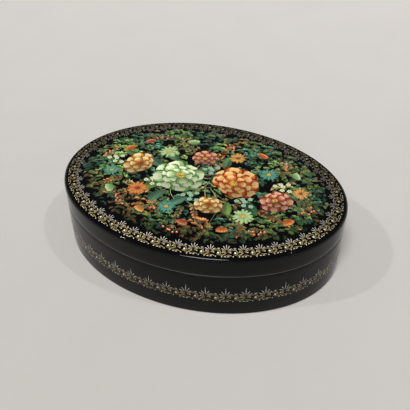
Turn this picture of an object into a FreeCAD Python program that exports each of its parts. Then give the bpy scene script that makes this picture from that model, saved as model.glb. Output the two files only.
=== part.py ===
import FreeCAD, Part
import math
import os
import Sketcher
from FreeCAD import Placement, Rotation, Vector

# An oval papier-mache lacquer box with a lid on a concealed hinge, in millimetres.
# The origin is under the middle of the box, on the surface that it stands on. +X runs along
# the oval, -Y is the front and +Z is up. The hinge is at the back, inside the thickness of
# the walls, and its axis lies in the seam between the box and its lid.

SIZES = {
    # The oval outline, the same for the box and for its lid
    "length": 140.0,
    "width": 103.0,
    # The box below the seam, the lid above it, and the swell of the lid's top past its rim
    "body_height": 24.0,
    "lid_height": 10.4,
    "crown_rise": 0.9,
    # The body's wall, the panel let into its foot, and how far that panel stays off the table
    "wall": 4.0,
    "base_thickness": 3.5,
    "base_recess": 0.5,
    "base_rebate": 1.5,
    # The collar that lines the wall and stands up into the lid
    "collar_thickness": 1.3,
    "collar_stand": 3.2,
    "collar_clearance": 0.3,
    # The panel that closes the lid, and the step under it that finds the lid's wall
    "panel_thickness": 3.2,
    "spigot_depth": 0.8,
    # The film of glue round a seated piece
    "glue_gap": 0.05,
    # Softened edges: the foot, the rim of the lid, the two lips of the seam, the collar's top
    "foot_round": 0.9,
    "rim_round": 1.6,
    "seam_chamfer": 0.3,
    "collar_chamfer": 0.4,
    # The hinge: its length, how far its axis lies inside the outline, its barrel and its leaves
    "hinge_length": 26.0,
    "hinge_inset": 1.9,
    "barrel_radius": 1.3,
    "knuckle_gap": 0.15,
    "leaf_thickness": 0.6,
    "leaf_cover": 1.0,
    # The hinge's pin, and the small chamfer on its ends
    "pin_radius": 0.65,
    "pin_clearance": 0.05,
    "pin_chamfer": 0.15,
    # The room round the barrel and past its ends, and how far the bevels start inside its axis
    "barrel_clearance": 0.2,
    "barrel_end_clearance": 0.3,
    "bevel_inset": 0.1,
    # The headless nails through each leaf, driven from inside, and how far they are punched in
    "nail_radius": 0.45,
    "nail_length": 3.0,
    "nail_sink": 0.1,
    "nail_level": 4.0,
    # How far a cut runs on past the face that it opens
    "overrun": 2.0,
}

# Degrees from the seam to each bevel at the back; the two together are where the lid stops
BEVEL_ANGLE = 51.0
KNUCKLES = 5
# Flats that make up a rounded edge
ROUND_BANDS = 3
# Each nail's place along the hinge, as a share of its length
NAIL_PLACE_SHARES = (-0.3, 0.3)

document = FreeCAD.newDocument("lacquer_box")
sheet = document.addObject("Spreadsheet::Sheet", "sizes")
for row, (name, size) in enumerate(SIZES.items(), start=1):
    sheet.set(f"A{row}", name)
    sheet.set(f"B{row}", str(size))
    sheet.setAlias(f"B{row}", name)
document.recompute()

pieces = []

# Sizes that follow from the sheet
SEAM = "sizes.body_height"
PANEL_FOOT = "(sizes.body_height + sizes.lid_height - sizes.panel_thickness)"
LID_WALL_HEIGHT = "(sizes.lid_height - sizes.panel_thickness)"
BASE_TOP = "(sizes.base_recess + sizes.base_thickness)"
LID_WALL = "(sizes.wall - sizes.collar_clearance)"
HINGE_DEPTH = "(sizes.width / 2 - sizes.hinge_inset)"
LEAF_DEPTH = "(sizes.lid_height - sizes.panel_thickness - sizes.leaf_cover)"
BARREL_ROOM = "(sizes.barrel_radius + sizes.barrel_clearance)"
BORE_RADIUS = "(sizes.pin_radius + sizes.pin_clearance)"
KNUCKLE_PITCH = f"(sizes.hinge_length / {KNUCKLES})"


def worked_out(expression):
    """The number that an expression of the sheet's sizes comes to."""
    return float(sheet.evalExpression(expression))


def keep(piece, label):
    """Count a finished piece among those that are written out."""
    piece.Label = label
    pieces.append(piece)
    return piece


# Sketches and the features made from them


def new_body(label):
    return keep(document.addObject("PartDesign::Body", label), label)


def new_sketch(body, plane_role, name, across="0", up="0"):
    """A sketch on one of a body's own planes, its origin moved across and up in that plane."""
    sketch = body.newObject("Sketcher::SketchObject", name)
    plane = next(item for item in body.Origin.OriginFeatures if item.Role == plane_role)
    sketch.AttachmentSupport = (plane, [""])
    sketch.MapMode = "FlatFace"
    sketch.setExpression("AttachmentOffset.Base.x", across)
    sketch.setExpression("AttachmentOffset.Base.y", up)
    return sketch


def add_oval(sketch, name, inset):
    """An ellipse that lies one inset inside the box's outline all round."""
    long_axis = f"sizes.length - 2 * ({inset})"
    short_axis = f"sizes.width - 2 * ({inset})"
    ellipse = Part.Ellipse(Vector(), worked_out(long_axis) / 2, worked_out(short_axis) / 2)
    curve = sketch.addGeometry(ellipse, False)
    axes = sketch.GeometryCount
    sketch.exposeInternalGeometry(curve)
    sketch.addConstraint(Sketcher.Constraint("Coincident", curve, 3, -1, 1))
    sketch.addConstraint(Sketcher.Constraint("Horizontal", axes))
    for line, axis in ((axes, long_axis), (axes + 1, short_axis)):
        size = sketch.addConstraint(Sketcher.Constraint("Distance", line, worked_out(axis)))
        sketch.renameConstraint(size, f"{name}_{line - axes}")
        sketch.setExpression(f"Constraints.{name}_{line - axes}", axis)


def add_circle(sketch, radius):
    circle = Part.Circle(Vector(), Vector(0, 0, 1), worked_out(radius))
    curve = sketch.addGeometry(circle, False)
    sketch.addConstraint(Sketcher.Constraint("Coincident", curve, 3, -1, 1))
    size = sketch.addConstraint(Sketcher.Constraint("Radius", curve, worked_out(radius)))
    sketch.setExpression(f"Constraints[{size}]", radius)


def add_outline(sketch, corners):
    """Straight lines through corners given as (across, up), each placed from the origin."""
    points = [Vector(worked_out(across), worked_out(up), 0) for across, up in corners]
    for start, end in zip(points, points[1:] + points[:1]):
        sketch.addGeometry(Part.LineSegment(start, end), False)
    for line in range(len(corners)):
        following = (line + 1) % len(corners)
        sketch.addConstraint(Sketcher.Constraint("Coincident", line, 2, following, 1))
    for line, corner in enumerate(corners):
        for kind, place in zip(("DistanceX", "DistanceY"), corner):
            rule = Sketcher.Constraint(kind, -1, 1, line, 1, worked_out(place))
            size = sketch.addConstraint(rule)
            sketch.setExpression(f"Constraints[{size}]", place)


def feature(body, kind, sketch, name, length, both_ways=False, backwards=False):
    """A pad or pocket of a sketch, one way from its plane or half to each side of it."""
    made = body.newObject(f"PartDesign::{kind}", name)
    made.Profile = sketch
    made.SideType = "Symmetric" if both_ways else "One side"
    made.Reversed = backwards
    made.setExpression("Length", length)
    document.recompute()
    return made


def oval_edge(shape, height, inset):
    """The name of the oval edge that lies nearest to a height and to an inset."""
    level = worked_out(height)
    reach = worked_out(f"sizes.length / 2 - ({inset})")

    def miss(numbered):
        box = numbered[1].BoundBox
        return abs(box.ZMin - level) + abs(box.ZMax - level) + abs(box.XMax - reach) + abs(box.XMin + reach)

    number, _ = min(enumerate(shape.Edges, start=1), key=miss)
    return f"Edge{number}"


def chamfer(body, base, edges, size):
    made = body.newObject("PartDesign::Chamfer", "chamfer")
    made.Base = (base, edges)
    made.setExpression("Size", size)
    document.recompute()
    return made


# The hinge's room in a wall: the same cuts for the box and, turned over, for its lid


def cross_sketch(body, name, seam, turned):
    """A sketch across the hinge with its origin on the axis; its down is up in the lid."""
    sketch = new_sketch(body, "YZ_Plane", name, HINGE_DEPTH, seam)
    if turned:
        sketch.AttachmentOffset = Placement(Vector(), Rotation(Vector(1, 0, 0), 180))
    return sketch


def cut_bevel(body, seam, turned):
    """Take the outer corner of the seam away, so that the lid can lean back past upright."""
    sketch = cross_sketch(body, "bevel", seam, turned)
    outside = "sizes.hinge_inset + sizes.overrun"
    inside = "-sizes.bevel_inset"
    slope = f"-({outside} + sizes.bevel_inset) * tan({BEVEL_ANGLE})"
    corners = [(inside, "0"), (inside, "sizes.overrun"), (outside, "sizes.overrun"), (outside, slope)]
    add_outline(sketch, corners)
    feature(body, "Pocket", sketch, "bevel_cut", "sizes.length", both_ways=True)


def cut_barrel_groove(body, seam, turned):
    sketch = cross_sketch(body, "groove", seam, turned)
    add_circle(sketch, BARREL_ROOM)
    length = "sizes.hinge_length + 2 * sizes.barrel_end_clearance"
    feature(body, "Pocket", sketch, "groove_cut", length, both_ways=True)


def cut_leaf_slot(body, seam, turned):
    sketch = cross_sketch(body, "slot", seam, turned)
    half = "(sizes.leaf_thickness / 2 + sizes.glue_gap)"
    depth = f"-({LEAF_DEPTH} + sizes.glue_gap)"
    add_outline(sketch, [(f"-{half}", "0"), (half, "0"), (half, depth), (f"-{half}", depth)])
    length = "sizes.hinge_length + 2 * sizes.glue_gap"
    feature(body, "Pocket", sketch, "slot_cut", length, both_ways=True)


def nail_across(share):
    return f"({share} * sizes.hinge_length)"


def nail_start(share, wall):
    """How far back from the middle a nail starts, just under the wall's inner face."""
    across = nail_across(share)
    face = f"(sizes.width / 2 - {wall}) * sqrt(1 - ({across} / (sizes.length / 2 - {wall}))^2)"
    return f"({face} + sizes.nail_sink)"


def cut_nail_holes(body, wall, level):
    """Blind holes drilled from inside, which stop short of the wall's lacquered face."""
    for share in NAIL_PLACE_SHARES:
        sketch = new_sketch(body, "XZ_Plane", "nail_hole", nail_across(share), level)
        add_circle(sketch, "sizes.nail_radius + sizes.glue_gap")
        depth = f"{nail_start(share, wall)} + sizes.nail_length + sizes.glue_gap"
        feature(body, "Pocket", sketch, "nail_hole_cut", depth)


def cut_hinge_room(body, seam, wall, level, turned):
    cut_bevel(body, seam, turned)
    cut_barrel_groove(body, seam, turned)
    cut_leaf_slot(body, seam, turned)
    cut_nail_holes(body, wall, level)


# The box below the seam


def rounded_lines(rounding):
    """Inset and height of each line of a rounded lower edge, from its foot upwards."""
    for band in range(ROUND_BANDS + 1):
        angle = math.pi / 2 * band / ROUND_BANDS
        inset_share = 1 - math.sin(angle)
        height_share = 1 - math.cos(angle)
        yield f"{inset_share} * {rounding}", f"{height_share} * {rounding}"


def shape_block(body, kind, lines):
    """Add or cut an oval block through level lines, each given by its inset and its height."""
    sections = []
    for inset, height in lines:
        sketch = new_sketch(body, "XY_Plane", "wall_line")
        sketch.setExpression("AttachmentOffset.Base.z", height)
        add_oval(sketch, "outline", inset)
        sections.append(sketch)
    block = body.newObject(f"PartDesign::{kind}", "wall_block")
    block.Profile = sections[0]
    block.Sections = sections[1:]
    block.Ruled = True
    document.recompute()


def make_body_wall():
    """The wound wall, with a softened foot, a rebate for the base and the hinge's room."""
    body = new_body("body_wall")
    under_hinge = f"{SEAM} - {LEAF_DEPTH} - sizes.leaf_cover"
    lines = list(rounded_lines("sizes.foot_round"))
    lines += [("0", under_hinge), ("0", f"{SEAM} - sizes.seam_chamfer"), ("sizes.seam_chamfer", SEAM)]
    shape_block(body, "AdditiveLoft", lines)
    shape_block(body, "SubtractiveLoft", [("sizes.wall", height) for height in ("0", under_hinge, SEAM)])
    rebate = new_sketch(body, "XY_Plane", "base_rebate")
    add_oval(rebate, "rebate", "sizes.wall - sizes.base_rebate")
    feature(body, "Pocket", rebate, "base_rebate_cut", BASE_TOP, backwards=True)
    cut_hinge_room(body, SEAM, "sizes.wall", f"{SEAM} - sizes.nail_level", turned=False)


def make_base_panel():
    """The flat oval that closes the foot; it stays off the table, so the wall's foot bears."""
    body = new_body("base_panel")
    body.setExpression(".Placement.Base.z", "sizes.base_recess")
    sketch = new_sketch(body, "XY_Plane", "base_outline")
    add_oval(sketch, "outline", "sizes.wall - sizes.base_rebate + sizes.glue_gap")
    feature(body, "Pad", sketch, "base_pad", "sizes.base_thickness")


def make_locating_collar():
    """The liner from the base up past the seam; its proud edge finds the lid."""
    body = new_body("locating_collar")
    body.setExpression(".Placement.Base.z", BASE_TOP)
    height = f"{SEAM} - {BASE_TOP} + sizes.collar_stand"
    outer = "sizes.wall + sizes.glue_gap"
    inner = "sizes.wall + sizes.collar_thickness"
    sketch = new_sketch(body, "XY_Plane", "collar_ring")
    add_oval(sketch, "outer", outer)
    add_oval(sketch, "inner", inner)
    ring = feature(body, "Pad", sketch, "collar_pad", height)
    chamfer(body, ring, [oval_edge(ring.Shape, height, outer)], "sizes.collar_chamfer")


# The lid


def make_lid_wall():
    body = new_body("lid_wall")
    body.setExpression(".Placement.Base.z", SEAM)
    lines = [("sizes.seam_chamfer", "0"), ("0", "sizes.seam_chamfer"), ("0", LID_WALL_HEIGHT)]
    shape_block(body, "AdditiveLoft", lines)
    shape_block(body, "SubtractiveLoft", [(LID_WALL, "0"), (LID_WALL, LID_WALL_HEIGHT)])
    cut_hinge_room(body, "0", LID_WALL, "sizes.nail_level", turned=True)


def oval_curve(name, inset, height):
    curve = document.addObject("Part::Ellipse", name)
    curve.setExpression("MajorRadius", f"sizes.length / 2 - ({inset})")
    curve.setExpression("MinorRadius", f"sizes.width / 2 - ({inset})")
    curve.setExpression(".Placement.Base.z", height)
    return curve


def oval_disc(name, inset, foot, thickness):
    disc = document.addObject("Part::Extrusion", name)
    disc.Base = oval_curve(f"{name}_outline", inset, foot)
    disc.DirMode = "Custom"
    disc.Dir = Vector(0, 0, 1)
    disc.Solid = True
    disc.setExpression("LengthFwd", thickness)
    return disc


def crown_block():
    """A block under the lid's gentle swell: one smooth patch, level all along the rim's oval."""
    reach = worked_out("sizes.length / 2 - sizes.rim_round")
    depth = worked_out("sizes.width / 2 - sizes.rim_round")
    margin = worked_out("sizes.rim_round")
    top = worked_out("sizes.panel_thickness + sizes.crown_rise")
    rise = worked_out("sizes.crown_rise")
    half_x = reach + margin
    half_y = depth + margin
    drop_x = rise * (half_x / reach) ** 2
    drop_y = rise * (half_y / depth) ** 2
    patch = Part.BezierSurface()
    patch.increase(2, 2)
    for column, (x, lift_x) in enumerate(((-half_x, -drop_x), (0, drop_x), (half_x, -drop_x)), start=1):
        for line, (y, lift_y) in enumerate(((-half_y, -drop_y), (0, drop_y), (half_y, -drop_y)), start=1):
            patch.setPole(column, line, Vector(x, y, top + lift_x + lift_y))
    block = document.addObject("Part::Feature", "crown_block")
    block.Shape = patch.toShape().extrude(Vector(0, 0, -2 * top))
    return block


def make_lid_panel():
    """The crowned top with its rounded rim, and the step below that fits inside the lid's wall."""
    lines = [("0", "0")]
    for inset, drop in reversed(list(rounded_lines("sizes.rim_round"))):
        lines.append((inset, f"sizes.panel_thickness - {drop}"))
    rim = document.addObject("Part::Loft", "panel_rim")
    rim.Sections = [oval_curve("rim_line", inset, height) for inset, height in lines]
    rim.Solid = True
    rim.Ruled = True
    core = oval_disc("panel_core", "sizes.rim_round", "0", "sizes.panel_thickness + sizes.overrun")
    crown = document.addObject("Part::MultiCommon", "panel_crown")
    crown.Shapes = [core, crown_block()]
    spigot_inset = f"{LID_WALL} + sizes.glue_gap"
    spigot_height = "sizes.spigot_depth + sizes.panel_thickness / 2"
    spigot = oval_disc("panel_spigot", spigot_inset, "-sizes.spigot_depth", spigot_height)
    panel = document.addObject("Part::MultiFuse", "lid_panel")
    panel.Shapes = [rim, crown, spigot]
    panel.setExpression(".Placement.Base.z", PANEL_FOOT)
    keep(panel, "lid_panel")


# The hinge


def seat_on_axis(piece, turned):
    """Put a hinge piece's own origin on the hinge's axis, upside down for the lid."""
    if turned:
        piece.Placement = Placement(Vector(), Rotation(Vector(1, 0, 0), 180))
    piece.setExpression(".Placement.Base.y", HINGE_DEPTH)
    piece.setExpression(".Placement.Base.z", SEAM)


def make_hinge_leaf(label, first_knuckle, turned):
    """A plate rolled into a barrel, with every second knuckle cut away for the other leaf."""
    body = new_body(label)
    seat_on_axis(body, turned)
    half = "(sizes.leaf_thickness / 2)"
    plate = new_sketch(body, "YZ_Plane", "plate")
    top = f"-({BORE_RADIUS} + (sizes.barrel_radius - {BORE_RADIUS}) / 2)"
    corners = [(f"-{half}", top), (half, top), (half, f"-{LEAF_DEPTH}"), (f"-{half}", f"-{LEAF_DEPTH}")]
    add_outline(plate, corners)
    feature(body, "Pad", plate, "plate_pad", "sizes.hinge_length", both_ways=True)
    barrel = new_sketch(body, "YZ_Plane", "barrel")
    add_circle(barrel, "sizes.barrel_radius")
    feature(body, "Pad", barrel, "barrel_pad", "sizes.hinge_length", both_ways=True)
    bore = new_sketch(body, "YZ_Plane", "bore")
    add_circle(bore, BORE_RADIUS)
    bore_length = "sizes.hinge_length + sizes.overrun"
    feature(body, "Pocket", bore, "bore_cut", bore_length, both_ways=True)

    half_notch = f"(({KNUCKLE_PITCH} + sizes.knuckle_gap) / 2)"
    high = f"{BARREL_ROOM}"
    for knuckle in range(1 - first_knuckle, KNUCKLES, 2):
        middle = f"({knuckle - (KNUCKLES - 1) / 2} * {KNUCKLE_PITCH})"
        notch = new_sketch(body, "XZ_Plane", "notch", middle)
        corners = [(f"-{half_notch}", f"-{high}"), (half_notch, f"-{high}"),
                   (half_notch, high), (f"-{half_notch}", high)]
        add_outline(notch, corners)
        feature(body, "Pocket", notch, "notch_cut", f"2 * {high}", both_ways=True)
    for share in NAIL_PLACE_SHARES:
        hole = new_sketch(body, "XZ_Plane", "leaf_hole", nail_across(share), "-sizes.nail_level")
        add_circle(hole, "sizes.nail_radius + sizes.glue_gap")
        feature(body, "Pocket", hole, "leaf_hole_cut", "2 * sizes.leaf_thickness", both_ways=True)


def make_nails(label, wall, level):
    """The headless nails of one leaf, each lying along +Y from just under the inner face."""
    group = document.addObject("Part::Compound", label)
    nails = []
    for share in NAIL_PLACE_SHARES:
        nail = document.addObject("Part::Cylinder", "nail")
        nail.Placement = Placement(Vector(), Rotation(Vector(1, 0, 0), -90))
        nail.setExpression("Height", "sizes.nail_length")
        nail.setExpression("Radius", "sizes.nail_radius")
        nail.setExpression(".Placement.Base.x", nail_across(share))
        nail.setExpression(".Placement.Base.y", nail_start(share, wall))
        nail.setExpression(".Placement.Base.z", level)
        nails.append(nail)
    group.Links = nails
    keep(group, label)


def make_hinge_pin():
    bar = document.addObject("Part::Cylinder", "pin_bar")
    bar.setExpression("Height", "sizes.hinge_length")
    bar.setExpression("Radius", "sizes.pin_radius")
    document.recompute()
    ends = [number for number, edge in enumerate(bar.Shape.Edges, start=1) if edge.isClosed()]
    pin = document.addObject("Part::Chamfer", "hinge_pin")
    pin.Base = bar
    size = worked_out("sizes.pin_chamfer")
    pin.Edges = [(number, size, size) for number in ends]
    pin.Placement = Placement(Vector(), Rotation(Vector(0, 1, 0), 90))
    pin.setExpression(".Placement.Base.x", "-sizes.hinge_length / 2")
    pin.setExpression(".Placement.Base.y", HINGE_DEPTH)
    pin.setExpression(".Placement.Base.z", SEAM)
    keep(pin, "hinge_pin")


make_body_wall()
make_base_panel()
make_locating_collar()
make_lid_wall()
make_lid_panel()
make_hinge_leaf("body_hinge_leaf", first_knuckle=0, turned=False)
make_hinge_leaf("lid_hinge_leaf", first_knuckle=1, turned=True)
make_hinge_pin()
make_nails("body_leaf_nails", "sizes.wall", f"{SEAM} - sizes.nail_level")
make_nails("lid_leaf_nails", LID_WALL, f"{SEAM} + sizes.nail_level")
document.recompute()

# Every object has to have worked out before any piece is written
for item in document.Objects:
    if "Invalid" in item.State or "Error" in item.State:
        raise RuntimeError(f"{item.Name} did not work out: {item.State}")
for piece in pieces:
    if piece.Shape.isNull() or not piece.Shape.isValid():
        raise RuntimeError(f"{piece.Label} has no sound shape")

os.makedirs("parts", exist_ok=True)
for piece in pieces:
    piece.Shape.exportStep(f"parts/{piece.Label}.step")
    print(piece.Label, len(piece.Shape.Solids), "solids", round(piece.Shape.Volume, 1), "mm3")
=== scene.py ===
# %% [markdown]
# # An oval lacquer box
#
# The box is papier-mache: a wound wall, a pressed base and a crowned lid, all under many
# coats of black lacquer, red inside, with a hinge let into the back. The CAD model holds
# its true sizes and its moving parts. Here each oval piece is built again with the fine
# roundness and the paint that only a renderer can show.
#
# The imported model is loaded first, as a frame that nothing here moves. Each new piece is
# then laid over the part of the frame that it stands for.

# %% Load the frame
import math

import bpy
import numpy as np
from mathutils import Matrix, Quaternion, Vector


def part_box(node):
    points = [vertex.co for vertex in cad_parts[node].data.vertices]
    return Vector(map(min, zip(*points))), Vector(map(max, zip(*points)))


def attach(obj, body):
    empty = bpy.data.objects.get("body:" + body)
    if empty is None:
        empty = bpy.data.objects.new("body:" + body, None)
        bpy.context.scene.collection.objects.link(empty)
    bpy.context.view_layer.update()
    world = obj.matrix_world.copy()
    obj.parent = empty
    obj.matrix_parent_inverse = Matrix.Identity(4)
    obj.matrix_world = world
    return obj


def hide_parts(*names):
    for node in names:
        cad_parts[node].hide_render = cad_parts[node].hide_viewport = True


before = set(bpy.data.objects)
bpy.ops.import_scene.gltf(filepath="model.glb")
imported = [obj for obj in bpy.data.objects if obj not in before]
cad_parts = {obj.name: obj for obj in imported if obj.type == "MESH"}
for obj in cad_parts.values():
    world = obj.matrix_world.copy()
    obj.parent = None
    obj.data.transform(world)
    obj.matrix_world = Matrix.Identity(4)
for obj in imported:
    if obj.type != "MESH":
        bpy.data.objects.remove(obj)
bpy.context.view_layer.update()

MM = 0.001
scene = bpy.context.scene
half_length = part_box("body_wall")[1].x
half_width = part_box("body_wall")[1].y
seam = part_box("body_wall")[1].z
print("half axes and seam in mm:", half_length / MM, half_width / MM, seam / MM)

# %% [markdown]
# ## Camera
#
# The view is a product photograph's: from the front right and about forty degrees above,
# with a fairly long lens. A track quaternion turns the camera from its place to its aim,
# which is easier to read than three angles, and a last small turn levels the picture.

# %% Place the camera
CAMERA_PLACE = Vector((0.07746, -0.21611, 0.21199))
CAMERA_AIM = Vector((-0.00208, 0.00990, 0.01086))
CAMERA_ROLL = 0.0043
FOCAL_LENGTH = 52.68

camera_data = bpy.data.cameras.new("camera")
camera_data.lens = FOCAL_LENGTH
camera_data.clip_start = 0.01
camera_data.clip_end = 50
camera = bpy.data.objects.new("camera", camera_data)
scene.collection.objects.link(camera)
camera.location = CAMERA_PLACE
camera.rotation_mode = "QUATERNION"
facing = (CAMERA_AIM - CAMERA_PLACE).to_track_quat("-Z", "Y")
camera.rotation_quaternion = facing @ Quaternion((0, 0, 1), CAMERA_ROLL)
bpy.context.scene.camera = camera
bpy.context.scene.view_settings.view_transform = "Standard"
print("camera stands", round((CAMERA_AIM - CAMERA_PLACE).length, 3), "m from its aim")

# %% [markdown]
# ## Nodes in a few words
#
# Every finish below is a small tree of nodes. A few short helpers add the nodes that come
# back again and again, so that each material reads like a recipe.

# %% Node helpers


def feed(finish, socket, value):
    """Give a socket its value: a number, a colour, or another node's socket to link to."""
    if isinstance(value, bpy.types.NodeSocket):
        finish.node_tree.links.new(value, socket)
    else:
        socket.default_value = (*value, 1) if socket.type == "RGBA" else value


def wire(finish, node, **inputs):
    """Feed a node's inputs by name."""
    for key, value in inputs.items():
        feed(finish, node.inputs[key.replace("_", " ")], value)


def add_node(finish, kind, settings=None, **inputs):
    node = finish.node_tree.nodes.new(f"ShaderNode{kind}")
    for key, value in (settings or {}).items():
        setattr(node, key, value)
    wire(finish, node, **inputs)
    return node


def new_finish(name, colour, roughness, **inputs):
    """A material with a Principled shader, and the Object coordinates for its patterns."""
    finish = bpy.data.materials.new(name)
    finish.use_nodes = True
    shader = finish.node_tree.nodes["Principled BSDF"]
    wire(finish, shader, Base_Color=colour, Roughness=roughness, **inputs)
    return finish, shader, add_node(finish, "TexCoord").outputs["Object"]


# %% Pattern helpers


def spread(finish, value, low, high, start=0.0, end=1.0):
    """Carry a pattern that runs from start to end over to the range from low to high."""
    node = add_node(finish, "MapRange", Value=value, From_Min=start, From_Max=end, To_Min=low, To_Max=high)
    return node.outputs["Result"]


def times(finish, first, second):
    node = add_node(finish, "Math", {"operation": "MULTIPLY"})
    feed(finish, node.inputs[0], first)
    feed(finish, node.inputs[1], second)
    return node.outputs["Value"]


def mix_colours(finish, share, first, second, blend="MIX"):
    """Mix two colours. These and their share may also be sockets."""
    node = add_node(finish, "Mix", {"data_type": "RGBA", "blend_type": blend})
    for number, value in ((0, share), (6, first), (7, second)):
        feed(finish, node.inputs[number], value)
    return node.outputs[2]


def mottle(finish, colour, pattern, low, high):
    """Darken and lighten a colour by a pattern."""
    tint = spread(finish, pattern, low, high)
    grey = add_node(finish, "CombineColor", Red=tint, Green=tint, Blue=tint)
    return mix_colours(finish, 1.0, colour, grey.outputs["Color"], "MULTIPLY")


def noise(finish, place, scale, detail=3.0, roughness=0.5):
    node = add_node(finish, "TexNoise", Vector=place, Scale=scale, Detail=detail, Roughness=roughness)
    return node.outputs["Fac"]


def stretch(finish, place, scale):
    return add_node(finish, "Mapping", Vector=place, Scale=scale).outputs["Vector"]


def bump(finish, pattern, strength, depth, **under):
    """Relief from a pattern, its depth in millimetres."""
    node = add_node(finish, "Bump", Height=pattern, Strength=strength, Distance=depth * MM, **under)
    return node.outputs["Normal"]


# %% [markdown]
# ## Floor and light
#
# The box stands on a pale matt table under a few lamps, which are suns here, so that they
# light the whole floor evenly. Two weak ones cast the faint shadows left and right of the
# box. The third is broad and gives most of the light. It stands in front, so its shadow
# hides behind the box and its gleam runs along the lid's front rim. The world is pale
# round the horizon and dim above, because polished black lacquer shows whatever it faces:
# its wall takes on the table and its lid stays deep black.

# %% Lay the floor
FLOOR_SIZE = 6.0
FLOOR_COLOUR = (0.70, 0.665, 0.635)
FLOOR_SHADED_COLOUR = (0.575, 0.555, 0.525)
FLOOR_NEAR = -0.15
FLOOR_FAR = 0.35


def add_shape(primitive, **settings):
    """Add a primitive, with nothing else selected."""
    bpy.ops.object.select_all(action="DESELECT")
    primitive(**settings)
    return bpy.context.object


floor = add_shape(bpy.ops.mesh.primitive_plane_add, size=FLOOR_SIZE, location=(0, 0, 0))
floor.name = "floor"
table_top, shader, place = new_finish("table_top", FLOOR_COLOUR, 0.6, Specular_IOR_Level=0.2)
# Painted shade: the table's colour darkens towards the front, as if less light fell there.
depth = add_node(table_top, "SeparateXYZ", Vector=place).outputs["Y"]
far_share = spread(table_top, depth, 0.0, 1.0, FLOOR_NEAR, FLOOR_FAR)
plain = mix_colours(table_top, far_share, FLOOR_SHADED_COLOUR, FLOOR_COLOUR)
mottled = mottle(table_top, plain, noise(table_top, place, 26.0, 5.0), 0.96, 1.03)
grain = bump(table_top, noise(table_top, place, 700.0, 2.0), 0.15, 0.4)
wire(table_top, shader, Base_Color=mottled, Normal=grain)
floor.data.materials.append(table_top)
print("floor:", FLOOR_SIZE, "m wide")

# %% Hang the lamps
# Each lamp: its bearing and height in degrees, its strength, and its width in degrees.
LAMPS = {
    "front_left": (-150.6, 48.7, 0.13, 1.6),
    "right": (5.4, 62.8, 0.11, 1.6),
    "front": (-91.0, 63.0, 0.745, 20.0),
}
for name, (bearing, height, strength, softness) in LAMPS.items():
    lamp_data = bpy.data.lights.new(name, "SUN")
    lamp_data.energy = strength * math.pi
    lamp_data.angle = math.radians(softness)
    lamp = bpy.data.objects.new(name, lamp_data)
    scene.collection.objects.link(lamp)
    bearing, height = math.radians(bearing), math.radians(height)
    across = math.cos(height)
    lamp.location = (across * math.cos(bearing), across * math.sin(bearing), math.sin(height))
    lamp.rotation_euler = (-lamp.location).to_track_quat("-Z", "Y").to_euler()
print("lamps:", ", ".join(LAMPS))

# %% Light the room around
# Each band: the height that it starts at, from horizon to zenith, and its brightness.
ROOM_BANDS = ((0.0, 0.75), (0.22, 0.72), (0.42, 0.13), (1.0, 0.09))
ROOM_TINT = (1, 0.985, 0.965)

world = bpy.data.worlds.new("room")
world.use_nodes = True
scene.world = world
background = world.node_tree.nodes["Background"]
outlook = add_node(world, "TexCoord").outputs["Generated"]
height = add_node(world, "SeparateXYZ", Vector=outlook).outputs["Z"]
bands = add_node(world, "ValToRGB", Fac=height)
wire(world, background, Color=bands.outputs["Color"], Strength=1.0)
while len(bands.color_ramp.elements) < len(ROOM_BANDS):
    bands.color_ramp.elements.new(0.5)
for stop, (height, level) in zip(bands.color_ramp.elements, ROOM_BANDS):
    stop.position = height
    stop.color = (*(level * part for part in ROOM_TINT), 1)
print("room:", len(ROOM_BANDS), "bands of light")

# %% [markdown]
# ## Lacquer
#
# The black is carbon ground in linseed lacquer, baked, rubbed down and polished by hand.
# So it is never quite even: the gloss comes and goes a little, the surface has a faint
# wave, and fine rubbing marks cross it. A noise drives the roughness, and two bumps of
# different scale drive the normal. Just above the seam a thin band of height mixes in a
# light grey: a painted highlight for the gleam that the seam's rounded edge catches. The
# red inside is the same lacquer over cinnabar, laid on with a brush and left less polished.

# %% Mix the lacquers
BLACK = (0.0026, 0.0026, 0.0030)
RED = (0.36, 0.022, 0.012)
DEEP_RED = (0.23, 0.012, 0.008)
SEAM_GLEAM_GREY = (0.13, 0.127, 0.124)


def mix_lacquer(name, colour, roughness, gloss):
    finish, shader, place = new_finish(name, colour, roughness, Specular_IOR_Level=gloss)
    cloud = spread(finish, noise(finish, place, 90.0, 4.0), roughness * 0.7, roughness * 1.5)
    broad = bump(finish, noise(finish, place, 55.0, 1.0), 0.25, 0.12)
    rub_marks_and_gold_shade = noise(finish, stretch(finish, place, (1, 1, 7)), 900.0, 3.0, 0.6)
    wire(finish, shader, Roughness=cloud, Normal=bump(finish, rub_marks_and_gold_shade, 0.06, 0.02, Normal=broad))
    return finish, shader, place


black_lacquer, shader, place = mix_lacquer("black_lacquer", BLACK, 0.06, 0.15)
height = add_node(black_lacquer, "SeparateXYZ", Vector=place).outputs["Z"]
# Painted highlight: a thin light grey band just above the seam, in place of the gleam its rounded edge
# catches.
band_foot = spread(black_lacquer, height, 0.0, 1.0, seam + 0.01 * MM, seam + 0.06 * MM)
band_top = spread(black_lacquer, height, 0.0, 1.0, seam + 0.60 * MM, seam + 0.44 * MM)
uneven = spread(black_lacquer, noise(black_lacquer, place, 300.0), 0.5, 1.0)
seam_gleam = times(black_lacquer, times(black_lacquer, band_foot, band_top), uneven)
wire(black_lacquer, shader, Base_Color=mix_colours(black_lacquer, seam_gleam, BLACK, SEAM_GLEAM_GREY))

red_lacquer, shader, place = mix_lacquer("red_lacquer", RED, 0.16, 0.5)
streaks = noise(red_lacquer, stretch(red_lacquer, place, (0.35, 1, 1)), 260.0, 5.0)
wire(red_lacquer, shader, Base_Color=mix_colours(red_lacquer, streaks, DEEP_RED, RED))
print("lacquers:", black_lacquer.name, red_lacquer.name)

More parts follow.
